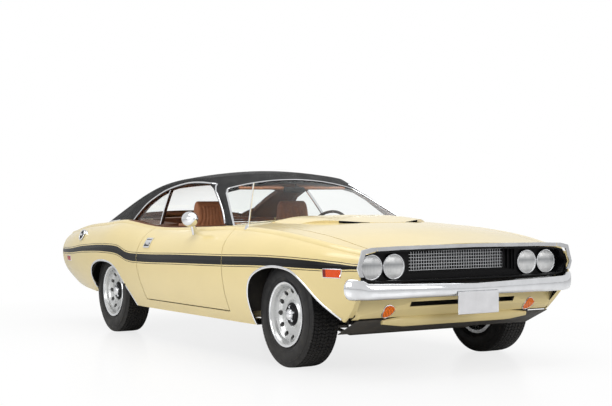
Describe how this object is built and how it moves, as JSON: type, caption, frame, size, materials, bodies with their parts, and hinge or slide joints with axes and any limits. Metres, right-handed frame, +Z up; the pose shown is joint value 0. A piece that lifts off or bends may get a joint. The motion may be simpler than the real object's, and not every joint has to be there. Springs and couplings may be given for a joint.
{
  "type": "muscle car",
  "caption": "Two-door hardtop muscle car with opening doors, hood and trunk lid, steered front wheels and free-rolling wheels.",
  "frame": {"origin": "on the ground below the middle of the overall length, on the centreline", "axes": "+X forwards, +Y to the left of the car, +Z up"},
  "size_m": [4.86, 1.9328, 1.2937],
  "materials": {
    "amber_lens": "amber lens",
    "black_paint": "satin black",
    "body_paint": "gloss cream",
    "cast_metal": "rough cast",
    "chrome": "polished",
    "dash_plastic": "tan and black",
    "engine_paint": "satin",
    "exhaust_steel": "dull",
    "glass": "clear",
    "lamp_glass": "clear lens",
    "plate_white": "blank white",
    "red_lens": "red lens",
    "silver_mesh": "satin",
    "tan_vinyl": "grained tan",
    "tyre_rubber": "matte black",
    "under_paint": "satin black",
    "vinyl_roof": "grained black vinyl",
    "wheel_silver": "silver",
    "white_lens": "white lens"
  },
  "bodies": {
    "car": {"antenna": "chrome", "body_shell": "body_paint", "console": "dash_plastic", "control_arms": "under_paint", "dashboard": "dash_plastic", "driveline": "under_paint", "engine": "engine_paint", "exhaust": "exhaust_steel", "fender_left": "body_paint", "fender_right": "body_paint", "floor_pan": "under_paint", "front_bumper": "chrome", "front_frame": "under_paint", "front_markers": "amber_lens", "front_seats": "tan_vinyl", "front_valance": "body_paint", "fuel_cap": "chrome", "fuel_tank": "exhaust_steel", "grille_mesh": "silver_mesh", "grille_surround": "black_paint", "headlamps": "lamp_glass", "lamp_rings": "chrome", "nose_trim": "chrome", "number_plates": "plate_white", "parking_lamps": "amber_lens", "quarter_windows": "glass", "rear_axle": "under_paint", "rear_bumper": "chrome", "rear_markers": "red_lens", "rear_seat": "tan_vinyl", "rear_window": "glass", "reverse_lamp": "white_lens", "roof": "vinyl_roof", "tail_lamps": "red_lens", "tail_panel": "black_paint", "window_bars": "chrome", "windshield": "glass"},
    "hood": {"hood": "body_paint", "hood_trim": "chrome"},
    "trunk_lid": {"trunk_lid": "body_paint"},
    "door_left": {"door_left": "body_paint", "handle_left": "chrome"},
    "door_right": {"door_right": "body_paint", "mirror_right": "chrome", "handle_right": "chrome"},
    "knuckle_left": {"knuckle_left": "cast_metal"},
    "knuckle_right": {"knuckle_right": "cast_metal"},
    "steering_wheel": {"steering_wheel": "dash_plastic"},
    "wheel_front_left": {"rim_front_left": "wheel_silver", "tyre_front_left": "tyre_rubber"},
    "wheel_front_right": {"rim_front_right": "wheel_silver", "tyre_front_right": "tyre_rubber"},
    "wheel_rear_left": {"rim_rear_left": "wheel_silver", "tyre_rear_left": "tyre_rubber"},
    "wheel_rear_right": {"rim_rear_right": "wheel_silver", "tyre_rear_right": "tyre_rubber"}
  },
  "joints": [
    {"name": "hood_hinge", "type": "hinge", "parent": "car", "child": "hood", "pos_m": [0.84, 0, 0.94], "axis": [0, -1, 0], "range_deg": [0, 55]},
    {"name": "trunk_hinge", "type": "hinge", "parent": "car", "child": "trunk_lid", "pos_m": [-1.784, 0, 0.932], "axis": [0, 1, 0], "range_deg": [0, 75]},
    {"name": "door_left_hinge", "type": "hinge", "parent": "car", "child": "door_left", "pos_m": [0.853, 0.945, 0.6], "axis": [0, 0, -1], "range_deg": [0, 65]},
    {"name": "door_right_hinge", "type": "hinge", "parent": "car", "child": "door_right", "pos_m": [0.853, -0.945, 0.6], "axis": [0, 0, 1], "range_deg": [0, 65]},
    {"name": "steer_left", "type": "hinge", "parent": "car", "child": "knuckle_left", "pos_m": [1.57, 0.728, 0.335], "axis": [0, 0, 1], "range_deg": [-30, 30]},
    {"name": "steer_right", "type": "hinge", "parent": "car", "child": "knuckle_right", "pos_m": [1.57, -0.728, 0.335], "axis": [0, 0, 1], "range_deg": [-30, 30]},
    {"name": "steering_wheel_turn", "type": "hinge", "parent": "car", "child": "steering_wheel", "pos_m": [0.13, 0.365, 0.8], "axis": [-0.9272, 0, 0.3746], "range_deg": [-480, 480]},
    {"name": "spin_front_left", "type": "hinge", "parent": "knuckle_left", "child": "wheel_front_left", "pos_m": [1.57, 0.758, 0.335], "axis": [0, 1, 0], "continuous": true},
    {"name": "spin_front_right", "type": "hinge", "parent": "knuckle_right", "child": "wheel_front_right", "pos_m": [1.57, -0.758, 0.335], "axis": [0, 1, 0], "continuous": true},
    {"name": "spin_rear_left", "type": "hinge", "parent": "car", "child": "wheel_rear_left", "pos_m": [-1.224, 0.771, 0.335], "axis": [0, 1, 0], "continuous": true},
    {"name": "spin_rear_right", "type": "hinge", "parent": "car", "child": "wheel_rear_right", "pos_m": [-1.224, -0.771, 0.335], "axis": [0, 1, 0], "continuous": true}
  ],
  "couplings": [
    {"joint": "steer_right", "follows": "steer_left", "ratio": 1},
    {"joint": "steering_wheel_turn", "follows": "steer_left", "ratio": 16}
  ]
}
